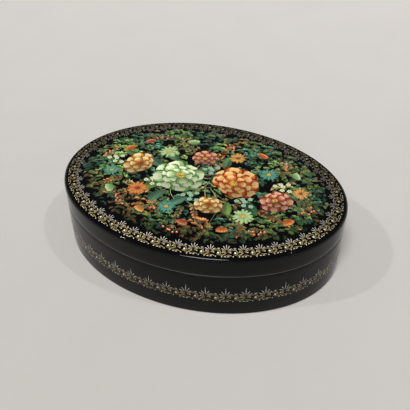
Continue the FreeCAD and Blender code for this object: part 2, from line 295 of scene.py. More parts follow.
# %% [markdown]
# ## Drawing an oval wall
#
# Every wall of the box is one profile carried round the same oval: a circle stretched to
# an oval, and then extruded, scaled and lifted from line to line, up the outside, over
# the edge and down the inside, until the last line is bridged back to the first. Each
# line is given by its inset from the outline and its height, in millimetres.

# %% Oval helpers
SEGMENTS = 256
SET_IN = 0.08
SMOOTH_ANGLE = math.radians(35)


def oval_axes(inset):
    return half_length - inset * MM, half_width - inset * MM


def paint_faces(piece, finish, chosen):
    """Give another finish to the faces that a test picks by middle, in mm, and normal."""
    piece.data.materials.append(finish)
    for face in piece.data.polygons:
        if chosen(face.center / MM, face.normal):
            face.material_index = len(piece.data.materials) - 1


def within(middle, inset):
    """Whether a place in mm lies inside the oval at that inset."""
    across, along = oval_axes(inset)
    return (middle.x * MM / across) ** 2 + (middle.y * MM / along) ** 2 < 1


# %% Editing helpers


def edit_edges():
    bpy.ops.object.mode_set(mode="EDIT")
    bpy.ops.mesh.select_mode(type="EDGE")
    bpy.ops.mesh.select_all(action="SELECT")


def select_open_edges():
    bpy.ops.mesh.select_all(action="DESELECT")
    bpy.ops.mesh.select_non_manifold()


def leave_editing():
    """Point all faces outwards and go back to object mode."""
    bpy.ops.mesh.select_all(action="SELECT")
    bpy.ops.mesh.normals_make_consistent(inside=False)
    bpy.ops.object.mode_set(mode="OBJECT")


# %% Profile helpers


def draw_along(lines, axes, height):
    """Extrude the selected ring from line to line. Each line is its half axes and height."""
    for next_axes, next_height in lines:
        bpy.ops.mesh.extrude_region()
        growth = (next_axes[0] / axes[0], next_axes[1] / axes[1], 1)
        bpy.ops.transform.resize(value=growth, center_override=(0, 0, height * MM))
        bpy.ops.transform.translate(value=(0, 0, (next_height - height) * MM))
        axes, height = next_axes, next_height


def quarter_round(start, end, turn_first, steps=4):
    """Lines of a quarter round between two (inset, height) points, end included."""
    lines = []
    for step in range(1, steps + 1):
        angle = math.pi / 2 * step / steps
        late, early = 1 - math.cos(angle), math.sin(angle)
        inset_share, height_share = (early, late) if turn_first == "inset" else (late, early)
        inset = start[0] + (end[0] - start[0]) * inset_share
        height = start[1] + (end[1] - start[1]) * height_share
        lines.append((inset, height))
    return lines


def draw_profile(name, lines):
    """Carry a profile of (inset, height) lines round the oval, and stay in edit mode."""
    piece = add_shape(bpy.ops.mesh.primitive_circle_add, vertices=SEGMENTS, radius=1.0, location=(0, 0, 0))
    piece.name = name
    piece.data.name = name
    rings = [(oval_axes(inset), height) for inset, height in lines]
    axes, height = rings[0]
    edit_edges()
    bpy.ops.transform.resize(value=(*axes, 1), center_override=(0, 0, 0))
    bpy.ops.transform.translate(value=(0, 0, height * MM))
    draw_along(rings[1:], axes, height)
    return piece


def finish_piece(piece):
    leave_editing()
    bpy.ops.object.shade_smooth_by_angle(angle=SMOOTH_ANGLE)
    print(piece.name, "has", len(piece.data.polygons), "faces")


def wind_wall(name, lines):
    """A profile whose last ring is bridged back to the first, so that the wall is solid."""
    piece = draw_profile(name, lines)
    select_open_edges()
    bpy.ops.mesh.bridge_edge_loops()
    finish_piece(piece)
    return piece


# %% [markdown]
# ## The box's wall
#
# On the real box this is cardboard wound on an oval block, pressed, baked and turned
# true. Its foot is softened, its top edge is broken so that it doesn't chip, and a rebate
# in the foot takes the base. The paint later lies on the wall, so the wall itself stands
# a hair inside the CAD surface. The plain lines between keep its shading even.

# %% Wind the box's wall
SEAM_MM = seam / MM
FOOT_ROUND = 0.9
SEAM_ROUND = 0.3
WALL = 4.0
REBATE = 2.5
BASE_TOP = 4.0
EDGE_CUT = 0.2
PLAIN_LINES = (7.0, 14.0, 21.0)

body_lines = [(SET_IN + FOOT_ROUND, 0.0)]
body_lines += quarter_round(body_lines[-1], (SET_IN, FOOT_ROUND), "inset", 6)
body_lines += [(SET_IN, level) for level in (*PLAIN_LINES, SEAM_MM - SEAM_ROUND)]
body_lines += quarter_round(body_lines[-1], (SET_IN + SEAM_ROUND, SEAM_MM), "height")
body_lines += [(WALL - EDGE_CUT, SEAM_MM), (WALL, SEAM_MM - EDGE_CUT)]
body_lines += [(WALL, BASE_TOP), (REBATE, BASE_TOP), (REBATE, 0.0)]
body_shell = wind_wall("body_shell", body_lines)
body_shell.data.materials.append(black_lacquer)
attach(body_shell, "box")
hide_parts("body_wall")

# %% [markdown]
# ## The lid's wall
#
# It is sawn from the same winding, so it has the same outline. It goes up to where the
# lid's panel is glued in, which lacquer hides outside.

# %% Wind the lid's wall
LID_WALL = 3.7
LID_PLAIN_LINE = 27.0
PANEL_FOOT = 31.2

lid_lines = [(LID_WALL, SEAM_MM + EDGE_CUT), (LID_WALL - EDGE_CUT, SEAM_MM)]
lid_lines += [(SET_IN + SEAM_ROUND, SEAM_MM)]
lid_lines += quarter_round(lid_lines[-1], (SET_IN, SEAM_MM + SEAM_ROUND), "inset")
lid_lines += [(SET_IN, LID_PLAIN_LINE), (SET_IN, PANEL_FOOT), (LID_WALL, PANEL_FOOT)]
lid_shell = wind_wall("lid_shell", lid_lines)
lid_shell.data.materials.append(black_lacquer)
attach(lid_shell, "lid")
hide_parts("lid_wall")

# %% [markdown]
# ## The lid's panel
#
# The top is a pressed board with a soft rim and a very low crown, under a millimetre
# high. The crown is rings that shrink towards the middle while they rise along a
# parabola, and the last one is merged to a point. Under the rim a spigot drops into the
# lid's wall.

# %% Press the lid's panel
RIM_ROUND = 1.6
CROWN_RISE = 0.9
PAINT_ROOM = 0.15
RIM_TOP = 34.4 - PAINT_ROOM
SPIGOT = 3.75
SPIGOT_FOOT = 30.4
CROWN_RINGS = 20
crown_axes = oval_axes(SET_IN + RIM_ROUND)

panel_lines = [(SPIGOT + EDGE_CUT, SPIGOT_FOOT), (SPIGOT, SPIGOT_FOOT + EDGE_CUT)]
panel_lines += [(SPIGOT, PANEL_FOOT), (SET_IN, PANEL_FOOT), (SET_IN, RIM_TOP - RIM_ROUND)]
panel_lines += quarter_round(panel_lines[-1], (SET_IN + RIM_ROUND, RIM_TOP), "height", 8)
lid_top = draw_profile("lid_top", panel_lines)
rings = []
for ring in range(CROWN_RINGS - 1, 0, -1):
    share = ring / CROWN_RINGS
    shrunk = (crown_axes[0] * share, crown_axes[1] * share)
    rings.append((shrunk, RIM_TOP + CROWN_RISE * (1 - share**2)))
draw_along(rings, crown_axes, RIM_TOP)
bpy.ops.mesh.extrude_region()
bpy.ops.mesh.merge(type="CENTER")
bpy.ops.transform.translate(value=(0, 0, CROWN_RISE / CROWN_RINGS**2 * MM))
select_open_edges()
bpy.ops.mesh.edge_face_add()
finish_piece(lid_top)
lid_top.data.materials.append(black_lacquer)
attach(lid_top, "lid")
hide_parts("lid_panel")
paint_faces(lid_top, red_lacquer, lambda at, out: at.z < PANEL_FOOT and within(at, 3.0))

# %% [markdown]
# ## Collar and base
#
# The collar is a thinner winding glued inside the box. It stands up past the seam and
# finds the lid. The base is a pressed board in the foot's rebate.

# %% Wind the collar
COLLAR_OUT = 4.05
COLLAR_IN = 5.3
COLLAR_TOP = 27.2
COLLAR_ROUND = 0.4

collar_lines = [(COLLAR_OUT, BASE_TOP), (COLLAR_OUT, COLLAR_TOP - COLLAR_ROUND)]
collar_lines += quarter_round(collar_lines[-1], (COLLAR_OUT + COLLAR_ROUND, COLLAR_TOP), "height")
collar_lines += [(COLLAR_IN - EDGE_CUT, COLLAR_TOP), (COLLAR_IN, COLLAR_TOP - EDGE_CUT)]
collar_lines += [(COLLAR_IN, BASE_TOP)]
collar = wind_wall("collar", collar_lines)
collar.data.materials.append(red_lacquer)
paint_faces(collar, black_lacquer, lambda at, out: out.z > 0.3 or out.x * at.x + out.y * at.y > 0)
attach(collar, "box")
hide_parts("locating_collar")

# %% Press the base
BASE_EDGE = 2.55
BASE_FOOT = 0.5
BASE_ROUND = 0.2

base_lines = [(BASE_EDGE + BASE_ROUND, BASE_FOOT), (BASE_EDGE, BASE_FOOT + BASE_ROUND)]
base_lines += [(BASE_EDGE, BASE_TOP - BASE_ROUND), (BASE_EDGE + BASE_ROUND, BASE_TOP)]
base_lines += [(COLLAR_IN, BASE_TOP)]
base = draw_profile("base", base_lines)
bpy.ops.mesh.edge_face_add()
select_open_edges()
bpy.ops.mesh.edge_face_add()
finish_piece(base)
base.data.materials.append(red_lacquer)
paint_faces(base, black_lacquer, lambda at, out: at.z < BASE_TOP - 0.3)
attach(base, "box")
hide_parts("base_panel")

# %% [markdown]
# ## Room for the hinge
#
# The hinge is sunk into both walls at the back. A round groove takes its barrel, a slot
# takes each leaf, small holes take the nails, and a bevel to the outside lets the lid
# lean back. Each is a plain tool shape, taken away with a Boolean modifier.

# %% Cutting tools
HINGE_INSET = 1.9
HINGE_DEPTH = half_width / MM - HINGE_INSET
BEVEL_ANGLE = math.radians(51)
BEVEL_REACH = 3.5
THIN_EDGE = 0.00001
GROOVE = (1.5, 1.5, 26.6)
LEAF_SLOT = (26.1, 0.7, 12.5)
NAIL_HOLE = (0.5, 0.5, 3.4)
NAIL_MIDDLE = 1.6
NAIL_PLACES = ((-7.8, 20.0), (7.8, 20.0), (-7.8, 28.0), (7.8, 28.0))
INNER_HALF_LENGTH = 66


def shape_tool(primitive, scale, place, **settings):
    """A cutting tool: a primitive stretched and put in its place, given in millimetres."""
    tool = add_shape(primitive, location=Vector(place) * MM, **settings)
    tool.scale = Vector(scale) * MM
    bpy.ops.object.transform_apply(location=True, rotation=True, scale=True)
    return tool


def block(scale, place):
    return shape_tool(bpy.ops.mesh.primitive_cube_add, scale, place, size=1.0)


def rod(scale, place, vertices, turn):
    settings = {"vertices": vertices, "radius": 1, "depth": 1, "rotation": turn}
    return shape_tool(bpy.ops.mesh.primitive_cylinder_add, scale, place, **settings)


def bevel_tool():
    """A wedge whose thin edge lies in the seam, just inside the hinge's axis."""
    middle = HINGE_DEPTH - 0.1 + BEVEL_REACH / 2
    wedge = block((90, BEVEL_REACH, 1), (0, middle, SEAM_MM))
    thick = BEVEL_REACH * math.tan(BEVEL_ANGLE)
    for vertex in wedge.data.vertices:
        reach = thick if vertex.co.y > middle * MM else THIN_EDGE
        vertex.co.z = seam + (reach if vertex.co.z > seam else -reach) * MM
    return wedge


def take_away(piece, tool):
    """Cut the tool's shape out of the piece."""
    cut = piece.modifiers.new("cut", "BOOLEAN")
    cut.operation = "DIFFERENCE"
    cut.solver = "EXACT"
    cut.object = tool
    bpy.ops.object.select_all(action="DESELECT")
    bpy.context.view_layer.objects.active = piece
    piece.select_set(True)
    bpy.ops.object.modifier_apply(modifier=cut.name)


# %% Cut the hinge's room
across_x = (0, math.radians(90), 0)
along_y = (math.radians(90), 0, 0)
axis_place = (0, HINGE_DEPTH, SEAM_MM)
groove = rod(GROOVE, axis_place, 48, across_x)
tools = [bevel_tool(), groove, block(LEAF_SLOT, axis_place)]
for across, level in NAIL_PLACES:
    thickness = WALL if level < SEAM_MM else LID_WALL
    inner = (half_width / MM - thickness) * math.sqrt(1 - (across / INNER_HALF_LENGTH) ** 2)
    tools.append(rod(NAIL_HOLE, (across, inner + NAIL_MIDDLE, level), 24, along_y))
for shell in (body_shell, lid_shell):
    for tool in tools:
        take_away(shell, tool)
    bpy.ops.object.shade_smooth_by_angle(angle=SMOOTH_ANGLE)
for tool in tools:
    bpy.data.objects.remove(tool)
paint_faces(lid_shell, red_lacquer, lambda at, out: within(at, LID_WALL - 0.1))
print("walls with the hinge's room:", len(body_shell.data.polygons), len(lid_shell.data.polygons))

# %% [markdown]
# ## Brass and steel
#
# The hinge's leaves and nails are brass, the pin through its knuckles is steel wire. The
# CAD pieces are exact enough to be shown as they are, so they only get finishes: brass
# that has dulled brown and keeps fine scratches along its length, and wire with the
# lines that the drawing die leaves round it.

# %% Give the hinge its metals
BRASS = (0.72, 0.47, 0.16)
DULL_BRASS = (0.36, 0.21, 0.08)
STEEL = (0.52, 0.52, 0.54)
DULL_STEEL = (0.27, 0.26, 0.26)


def mix_metal(name, bright, dull, roughness, line_scale):
    finish, shader, place = new_finish(name, bright, roughness, Metallic=1.0)
    colour = mix_colours(finish, noise(finish, place, 420.0, 5.0, 0.65), dull, bright)
    scratches = noise(finish, stretch(finish, place, line_scale), 700.0, 4.0, 0.6)
    scored = spread(finish, scratches, roughness * 0.7, roughness * 1.6)
    relief = bump(finish, scratches, 0.3, 0.02)
    wire(finish, shader, Base_Color=colour, Roughness=scored, Normal=relief)
    return finish


brass = mix_metal("dulled_brass", BRASS, DULL_BRASS, 0.26, (0.1, 3.0, 3.0))
pin_steel = mix_metal("drawn_steel", STEEL, DULL_STEEL, 0.3, (6.0, 0.4, 0.4))
for name in ("body_hinge_leaf", "lid_hinge_leaf", "body_leaf_nails", "lid_leaf_nails", "hinge_pin"):
    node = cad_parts[name]
    metal = pin_steel if name == "hinge_pin" else brass
    for held in node.material_slots:
        held.material = metal
    print(name, "is", metal.name)

# %% [markdown]
# ## One brush stroke
#
# The ornament and the picture are painted with a fine brush: each mark starts thin,
# swells as the brush is pressed down, and runs out to a point. Such a mark is modelled in
# five kinds: a leaf dab, a broad leaf, a petal, a long curl and a dot. Each is a
# four-sided ring, extruded along and scaled to the brush's pressure and merged to a point
# at both ends. It is one unit long and one wide, ready to be laid anywhere.

# %% Model the strokes
DAB = ((0.14, 0.55), (0.4, 1.0), (0.72, 0.75))
BROAD = ((0.06, 0.25), (0.2, 0.7), (0.38, 1.0), (0.58, 0.88), (0.8, 0.46))
PETAL = ((0.05, 0.3), (0.28, 0.66), (0.55, 0.93), (0.76, 1.0), (0.91, 0.74))
CURL = tuple((place / 16, math.sin(math.pi * (place / 16) ** 0.8) ** 0.7) for place in range(1, 16))
DOT = ((0.08, 0.55), (0.3, 0.92), (0.5, 1.0), (0.7, 0.92), (0.92, 0.55))


def model_stroke(name, pressure):
    """A stroke along +X. Pressure gives its width at some places from 0 to 1 along it."""
    stroke = add_shape(bpy.ops.mesh.primitive_circle_add, vertices=4, radius=0.5, rotation=across_x)
    bpy.ops.object.transform_apply(rotation=True)
    edit_edges()
    place, width = pressure[0]
    bpy.ops.transform.resize(value=(1, width, width), center_override=(0, 0, 0))
    bpy.ops.transform.translate(value=(place, 0, 0))
    for next_place, next_width in pressure[1:]:
        bpy.ops.mesh.extrude_region()
        growth = next_width / width
        bpy.ops.transform.resize(value=(1, growth, growth), center_override=(place, 0, 0))
        bpy.ops.transform.translate(value=(next_place - place, 0, 0))
        place, width = next_place, next_width
    for end in (1 - place, -pressure[0][0]):
        bpy.ops.mesh.extrude_region()
        bpy.ops.mesh.merge(type="CENTER")
        bpy.ops.transform.translate(value=(end, 0, 0))
        select_open_edges()
    leave_editing()
    points = np.array([vertex.co for vertex in stroke.data.vertices])
    # Blender can list the faces in another order on each run, so they are sorted.
    faces = sorted(tuple(face.vertices) for face in stroke.data.polygons)
    bpy.data.objects.remove(stroke)
    print(name, "stroke:", len(faces), "faces")
    return points, faces


dab = model_stroke("dab", DAB)
broad = model_stroke("broad", BROAD)
petal = model_stroke("petal", PETAL)
curl = model_stroke("curl", CURL)
dot = model_stroke("dot", DOT)

# %% [markdown]
# ## Laying strokes
#
# A stroke is laid along a path drawn on a flat sheet: its length follows the path, its
# width lies across it, and it stands a few thousandths of a millimetre proud. Later
# strokes lie a little higher, as fresh paint does over dry. Each copy brings its own
# colour, from root to tip, in an attribute that the paint's material reads.

# %% Brush helpers
FILM = 0.003
random_hand = np.random.default_rng(11)
vary = random_hand.uniform
drift = random_hand.normal


def paint(red, green, blue):
    """A colour given as it looks on a screen, 0 to 255, turned to linear light."""
    return (np.array((red, green, blue)) / 255.0) ** 2.2


def smooth_path(corners, steps=8):
    """A smooth line through a few corners, as points close together."""
    corners = np.array(corners, float)
    padded = np.vstack([corners[:1], corners, corners[-1:]])
    share = np.linspace(0, 1, steps, endpoint=False)[:, None]
    parts = []
    for before, start, end, after in zip(padded, padded[1:], padded[2:], padded[3:]):
        bend = 2 * before - 5 * start + 4 * end - after
        twist = 3 * start - 3 * end + after - before
        parts.append(start + 0.5 * ((end - before) * share + bend * share**2 + twist * share**3))
    return np.vstack([*parts, corners[-1:]])


def lean(place, angle, length):
    """The point at that length from a place, in the direction of an angle."""
    return (place[0] + length * math.cos(angle), place[1] + length * math.sin(angle))


def sweep(root, heading, length, sag, parts=5):
    """A path that sets out from its root along a heading and turns by the sag on its way."""
    corners = [root]
    for part in range(1, parts + 1):
        corners.append(lean(corners[-1], heading + sag * part / parts, length / parts))
    return smooth_path(corners, 4)


def lay(sheet, stroke, path, width, lift, root_tint, tip_tint=None, film=FILM):
    """Lay a copy of a stroke along a path, in millimetres, on a flat sheet."""
    shape, faces = stroke
    path = np.array(path, float)
    steps = np.linalg.norm(np.diff(path, axis=0), axis=1)
    run = np.concatenate([[0], np.cumsum(steps)]) / steps.sum()
    heading = np.gradient(path, run, axis=0)
    heading /= np.linalg.norm(heading, axis=1)[:, None]
    along = shape[:, 0]
    spine = np.column_stack([np.interp(along, run, path[:, axis]) for axis in (0, 1)])
    ahead = np.column_stack([np.interp(along, run, heading[:, axis]) for axis in (0, 1)])
    ahead /= np.linalg.norm(ahead, axis=1)[:, None]
    across = np.column_stack([-ahead[:, 1], ahead[:, 0]])
    flat = spine + across * (shape[:, 1] * width)[:, None]
    height = lift + shape[:, 2] * 2 * film
    tip_tint = root_tint if tip_tint is None else tip_tint
    tints = np.outer(1 - along, root_tint) + np.outer(along, tip_tint)
    sheet.append((np.column_stack([flat, height]), faces, tints))


def lay_dot(sheet, place, size, lift, tint):
    u, v = place
    lay(sheet, dot, [(u - size / 2, v), (u, v), (u + size / 2, v)], size, lift, tint)


# %% Join and dry the strokes


def gather(parts):
    """Join parts, each its points, faces and colours, into one such part."""
    points, faces, tints = zip(*parts)
    starts = [0, *np.cumsum([len(part) for part in points]).tolist()]
    joined = [
        tuple(corner + start for corner in face) for start, part in zip(starts, faces) for face in part
    ]
    return np.vstack(points), joined, np.vstack(tints)


def dry(name, points, faces, tints, finish, body):
    """Turn laid strokes, in the box's frame, into a piece that rides on a body."""
    mesh = bpy.data.meshes.new(name)
    mesh.from_pydata((points * MM).tolist(), [], faces)
    colours = mesh.color_attributes.new(name="paint", type="FLOAT_COLOR", domain="POINT")
    colours.data.foreach_set("color", np.column_stack([tints, np.ones(len(tints))]).ravel())
    mesh.materials.append(finish)
    piece = bpy.data.objects.new(name, mesh)
    scene.collection.objects.link(piece)
    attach(piece, body)
    print(name, "has", len(faces), "faces")


# %% [markdown]
# ## Paint under varnish
#
# The colours are egg tempera, with gold and silver leaf ground to powder for the
# ornament. All of it lies under clear lacquer, so the paint is dull in itself and glossy
# on top: a Principled shader with a rough base and a smooth coat. A fine noise makes the
# pigment a little uneven within each stroke.

# %% Mix the paints
UNDERCOAT = (0.5, 0.5, 0.5)


def mix_paint(name, shine):
    varnish = {"Coat_Weight": 0.4, "Coat_Roughness": 0.06, "Specular_IOR_Level": 0.25}
    finish, shader, place = new_finish(name, UNDERCOAT, 0.5, Metallic=shine, **varnish)
    brushed = add_node(finish, "Attribute", {"attribute_name": "paint"}).outputs["Color"]
    grainy = mottle(finish, brushed, noise(finish, place, 2400.0), 0.72, 1.22)
    cloud = spread(finish, noise(finish, place, 500.0, 2.0), 0.38, 0.62)
    wire(finish, shader, Base_Color=grainy, Roughness=cloud)
    return finish


tempera = mix_paint("tempera", 0.0)
leaf_paint = mix_paint("gold_and_silver_paint", 0.2)
print("paints:", tempera.name, leaf_paint.name)

# %% [markdown]
# ## The border's unit
#
# Both borders repeat one small unit of a common kind: a fan of pointed leaves, gold at
# the root and silver at the tips, leaves that arch away below it, a gold curl that rolls
# up round a cream dot, and short strokes that feather the curl over a thin ochre wash.
# The unit is drawn once on a flat sheet, in millimetres, with the dot at its origin and
# the fan half a step to its left. On the wall a hairline spike stands on each fan. After
# its path, each stroke is given its width, its height and its colours at root and tip.

# %% The unit's colours and leaves
UNIT_STEP = 8.9
SILVER = paint(255, 254, 246)
OCHRE = paint(112, 84, 40)
CREAM = paint(255, 252, 226) * 1.25
PALE_GOLD = paint(255, 238, 178) * 1.15
GOLDEN = (paint(160, 122, 56), PALE_GOLD)
FAN_TINTS = (paint(150, 122, 70), paint(255, 254, 248) * 1.45)
FAN_LEAVES = ((0, 4.9), (23, 4.6), (-25, 4.5), (49, 4.0), (-51, 4.1))
ARCHED_LEAVES = ((76, 3.5), (101, 3.0))
UP = math.pi / 2


def leaf_stroke(sheet, root, angle, turn, length, width, lift, tints):
    """One pointed stroke from its root, that turns aside on its way."""
    middle = lean(root, angle, length * 0.5)
    tip = lean(middle, angle + turn, length * 0.5)
    lay(sheet, dab, smooth_path([root, middle, tip], 3), width, lift, *tints)


def draw_fan(sheet, root):
    """Pointed leaves that spread from one root, and others that arch away below them."""
    for tilt, length in FAN_LEAVES:
        angle = UP - math.radians(tilt)
        leaf_stroke(sheet, lean(root, angle, 0.5), angle, -0.010 * tilt, length, 0.40, 0.036, FAN_TINTS)
    for tilt, length in ARCHED_LEAVES:
        for side in (-1, 1):
            angle = UP + side * math.radians(tilt)
            leaf_stroke(sheet, root, angle, -side * 0.5, length, 0.26, 0.032, GOLDEN)


def feather(sheet, path, start, end, count, length, side):
    """Short strokes that spring from a curl on one side and lie back along it."""
    for share in np.linspace(start, end, count):
        step = int(share * (len(path) - 2))
        ahead = path[step + 1] - path[step]
        angle = math.atan2(ahead[1], ahead[0]) + side * 0.7
        leaf_stroke(sheet, tuple(path[step]), angle, side * 0.5, length, 0.19, 0.034, GOLDEN)


# %% Draw the border's unit


def draw_unit(spike):
    """One unit of the border. Spike is the height of the hairline above the fan's root, or 0."""
    sheet = []
    root = (-UNIT_STEP / 2, 0.7)
    rolled = [(-3.9, 0.4), (-2.9, 1.35), (-1.3, 1.8), (0.35, 1.5), (1.2, 0.4), (0.85, -0.75)]
    rolled = smooth_path([*rolled, (-0.2, -1.0), (-0.9, -0.4), (-0.7, 0.35)])
    onward = smooth_path([(0.3, -1.25), (1.6, -1.4), (2.9, -0.8), (3.8, 0.1), (-root[0] - 0.2, 0.7)])
    under = smooth_path([(-1.6, -1.7), (-2.9, -1.2), (-4.4, -1.15), (-5.8, -1.7)])
    lay(sheet, curl, rolled[: len(rolled) // 2], 0.9, 0.016, OCHRE * 0.12, OCHRE * 0.3)
    lay(sheet, curl, onward, 0.8, 0.018, OCHRE * 0.3, OCHRE * 0.12)
    lay(sheet, curl, rolled, 0.24, 0.030, *GOLDEN)
    lay(sheet, curl, onward, 0.22, 0.028, *GOLDEN)
    lay(sheet, curl, under, 0.22, 0.028, *reversed(GOLDEN))
    feather(sheet, rolled, 0.1, 0.5, 4, 1.3, 1)
    feather(sheet, onward, 0.2, 0.85, 4, 1.2, 1)
    feather(sheet, onward, 0.3, 0.7, 3, 1.0, -1)
    draw_fan(sheet, root)
    for tilt in (-34, 0, 34):
        leaf_stroke(sheet, (0.0, 2.0), UP - math.radians(tilt), 0, 1.5, 0.24, 0.036, (PALE_GOLD, SILVER))
    if spike:
        hairline = [lean(root, UP, reach) for reach in (3.6, 4.8, spike)]
        lay(sheet, dab, hairline, 0.2, 0.03, SILVER)
    for side in (-1, 1):
        dash_root = (root[0], -2.15)
        leaf_stroke(sheet, dash_root, UP - side * 1.25, -side * 0.5, 1.9, 0.36, 0.03, (CREAM, PALE_GOLD))
    lay_dot(sheet, (0.0, 0.15), 1.15, 0.04, CREAM)
    for place in ((-2.4, 0.35), (2.35, 0.7), (1.9, -2.0), (-1.2, -1.9)):
        lay_dot(sheet, place, 0.6, 0.038, PALE_GOLD)
    return sheet


wall_unit = draw_unit(spike=6.2)
rim_unit = draw_unit(spike=0)
print("strokes in a unit:", len(rim_unit))

# %% [markdown]
# ## Carrying the unit round the oval
#
# The unit is copied round the wall and round the lid. Along an oval equal angles are not
# equal steps, so a table of the distance walked round it gives each point its place. On
# the wall the fan points up, on the lid it points to the middle. A hand never repeats
# itself exactly, so each copy is a little larger or smaller and lighter or darker. The
# lid's border is also painted darker towards the back and the left: painted shade where
# its gold catches less light.

# %% Walk round the oval


def walk_table(inset):
    """Angles round the oval at that inset, and the distance walked to each, in mm."""
    angle = np.linspace(0, 2 * math.pi, 4001)
    half = np.array(oval_axes(inset)) / MM
    points = np.column_stack([half[0] * np.cos(angle), half[1] * np.sin(angle)])
    steps = np.linalg.norm(np.diff(points, axis=0), axis=1)
    return half, angle, np.concatenate([[0], np.cumsum(steps)])


def step_off(table, distance):
    """The points at that distance round the oval, and the way out from it there."""
    half, angle, walked = table
    at = np.interp(np.mod(distance, walked[-1]), walked, angle)
    on = np.column_stack([half[0] * np.cos(at), half[1] * np.sin(at)])
    out = np.column_stack([np.cos(at) / half[0], np.sin(at) / half[1]])
    return on, out / np.linalg.norm(out, axis=1)[:, None]


# %% Put copies on the wall and the lid
# Painted shade on the lid's gold: its share at the middle, and the mm back or left that add one.
GOLD_SHADE_MIDDLE = 0.75
GOLD_SHADE_BACK = 55
GOLD_SHADE_LEFT = 400


def crown_height(x, y):
    """The height of the lid's crown over a point, all in mm."""
    rise = 1 - (x * MM / crown_axes[0]) ** 2 - (y * MM / crown_axes[1]) ** 2
    return RIM_TOP + CROWN_RISE * rise


def onto_wall(flat, table, start):
    on, out = step_off(table, start + flat[:, 0])
    return np.column_stack([on + out * flat[:, 2:], WALL_DOT_LEVEL + flat[:, 1]])


def onto_rim(flat, table, start):
    on, out = step_off(table, start + flat[:, 0])
    spot = on - out * flat[:, 1:2]
    return np.column_stack([spot, crown_height(*spot.T) + flat[:, 2]])


def carry_round(sheet, inset, first, count, put, strength, rub_marks_and_gold_shade=0.0):
    """Copy a sheet count times round an oval, each copy put in place by a function."""
    table = walk_table(inset)
    step = table[2][-1] / count
    shape, faces, tints = gather(sheet)
    copies = []
    for copy in range(count):
        flat = shape * (step / UNIT_STEP, vary(0.95, 1.05), 1)
        flat[:, 0] += drift(0, 0.08) + drift(0, 0.03) * flat[:, 1]
        placed = put(flat, table, first + copy * step)
        x, y, _ = placed.mean(axis=0)
        # Painted shade: copies further back and to the left are darkened.
        gold_shade = rub_marks_and_gold_shade * min(max(GOLD_SHADE_MIDDLE + y / GOLD_SHADE_BACK - x / GOLD_SHADE_LEFT, 0), 1)
        copies.append((placed, faces, tints * strength * vary(0.85, 1.1) * (1 - gold_shade)))
    return gather(copies)


# %% Paint the wall's border
WALL_DOT_LEVEL = 10.8
WALL_REPEATS = 43
WALL_FIRST_DOT = 284.6

# The wall's copies are painted far darker than the lid's: painted shade for the upright wall, which gets
# less light.
painted = carry_round(wall_unit, SET_IN, WALL_FIRST_DOT, WALL_REPEATS, onto_wall, strength=0.37)
dry("wall_border", *painted, leaf_paint, "box")

# %% Paint the lid's border
RIM_DOT_INSET = 4.35
RIM_REPEATS = 49
RIM_FIRST_DOT = 196.1

# The lid's gold is painted darker towards the back and the left, as painted shade.
painted = carry_round(rim_unit, RIM_DOT_INSET, RIM_FIRST_DOT, RIM_REPEATS, onto_rim, 0.92, rub_marks_and_gold_shade=0.68)
dry("rim_border", *painted, leaf_paint, "lid")

# %% [markdown]
# ## The lid's picture
#
# The lid carries a bouquet of garden and meadow flowers before a dim thicket, an old and
# common subject of painted lids. It is built up as such a bouquet is painted: clumps of
# leaves first, dark below and lit above, then twigs and larger leaves, then the flowers
# petal by petal from the outside in, and at the end fine light lines. The thicket has two
# sheets, far and near, so that no piece gets too heavy. Places are in millimetres from
# the lid's middle, headings in degrees.

# %% Colours of the picture
MOSS = [paint(*c) for c in ((74, 106, 58), (100, 130, 66), (138, 156, 84), (86, 118, 78))]
PINE = [paint(*c) for c in ((38, 74, 58), (56, 98, 78), (84, 126, 98), (46, 84, 56))]
OLIVE = [paint(*c) for c in ((96, 92, 54), (130, 114, 68), (152, 132, 84), (88, 104, 58))]
RUSSET = [paint(*c) for c in ((150, 88, 52), (190, 120, 66), (120, 76, 52), (206, 150, 90))]
TWIG = paint(116, 84, 62)
TWIG_LIGHT = paint(196, 160, 120)
PICTURE_AXES = (60.5, 42.0)

far_thicket, near_thicket, leaves, flowers = [], [], [], []
print("palettes of", len(MOSS), "greens and browns each, picture half axes", PICTURE_AXES, "mm")


def pick(colours):
    return colours[random_hand.integers(len(colours))] * vary(0.8, 1.2)


def edge_share(x, y):
    """0 at the picture's middle, 1 at its edge."""
    return (x / PICTURE_AXES[0]) ** 2 + (y / PICTURE_AXES[1]) ** 2


# %% Clumps of leaves
FULL_TURN = 2 * math.pi
TUFTS_PER_MM2 = 0.75
DARKEST = 0.16
EDGE_CLUMPS = 30
EDGE_CLUMP_AXES = (56.5, 38.0)


def tuft(place, heading, size, tint, lift):
    """Leaf dabs that fan out from one point, dark at the root, and one thin light over them."""
    thicket = far_thicket if place[1] > 0 else near_thicket
    for turn in (-0.9, -0.35, 0.35, 0.9):
        angle = heading + turn + drift(0, 0.1)
        length = size * vary(0.8, 1.1)
        path = [place, lean(place, angle, length * 0.5), lean(place, angle + turn * 0.2, length)]
        lay(thicket, dab, path, length * 0.3, lift + vary(0, 0.004), tint * 0.3, tint * 2.2)
    line = [lean(place, heading, size * 0.2), lean(place, heading, size * 0.9)]
    lay(thicket, dab, line, size * 0.13, lift + 0.005, tint * 1.8, tint * 4.0)


